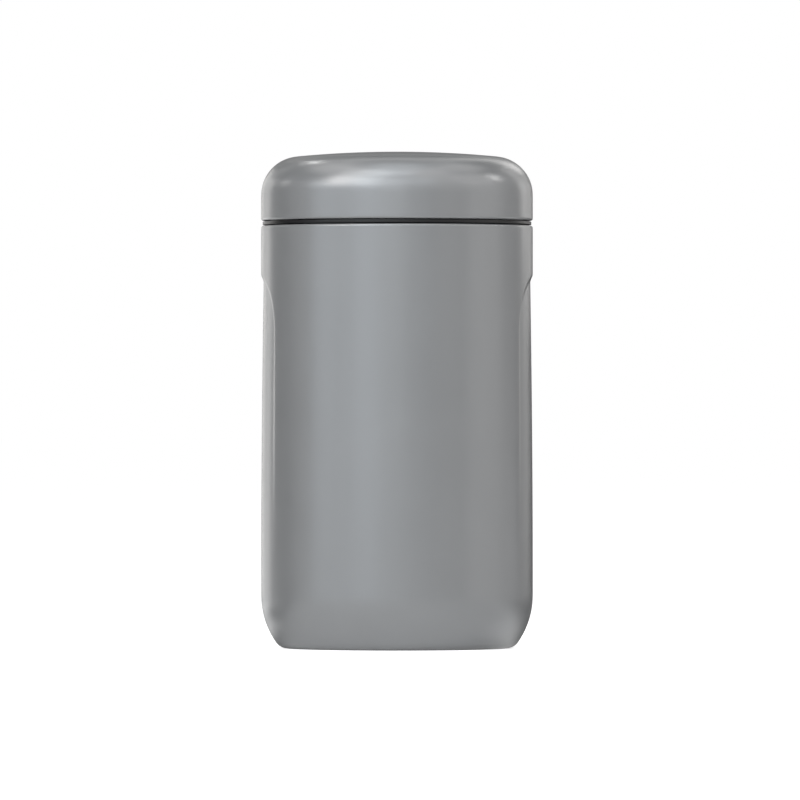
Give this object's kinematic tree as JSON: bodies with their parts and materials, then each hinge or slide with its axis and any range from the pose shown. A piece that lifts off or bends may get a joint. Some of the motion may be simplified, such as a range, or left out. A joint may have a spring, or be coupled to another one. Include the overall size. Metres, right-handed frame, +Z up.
{
  "type": "insulated food canister",
  "caption": "Round vacuum-insulated steel food canister with pressed side grips, a curved base and a screw-on domed lid.",
  "frame": {"origin": "centre of the foot, on the surface the canister stands on", "axes": "+Z up along the canister's axis; +X and -X point through the two pressed grips; -Y faces the picture's camera"},
  "size_m": [0.092, 0.092, 0.168],
  "materials": {
    "body_paint": "satin",
    "bare_steel": "satin",
    "foil": "gloss",
    "seal_bead": "gloss",
    "getter": "matte",
    "silicone": "matte",
    "black_plastic": "satin",
    "foam": "matte"
  },
  "bodies": {
    "jar": {"outer_shell": "body_paint", "inner_cup": "bare_steel", "heat_shield": "foil", "outer_bottom": "bare_steel", "vacuum_seal": "seal_bead", "base_cover": "bare_steel", "getter_holder": "bare_steel", "getter_pellet": "getter"},
    "lid_seal": {"lid_gasket": "silicone"},
    "lid": {"lid_cap": "black_plastic", "lid_insulation": "foam", "lid_shell": "body_paint"}
  },
  "joints": [
    {"name": "lid_rise", "type": "slide", "parent": "jar", "child": "lid_seal", "axis": [0, 0, 1], "range_m": [0, 0.0151]},
    {"name": "lid_turn", "type": "hinge", "parent": "lid_seal", "child": "lid", "pos_m": [0, 0, 0.1447], "axis": [0, 0, 1], "range_deg": [0, 540]}
  ],
  "couplings": [
    {"joint": "lid_rise", "follows": "lid_turn", "m_per_rad": 0.0015915}
  ]
}
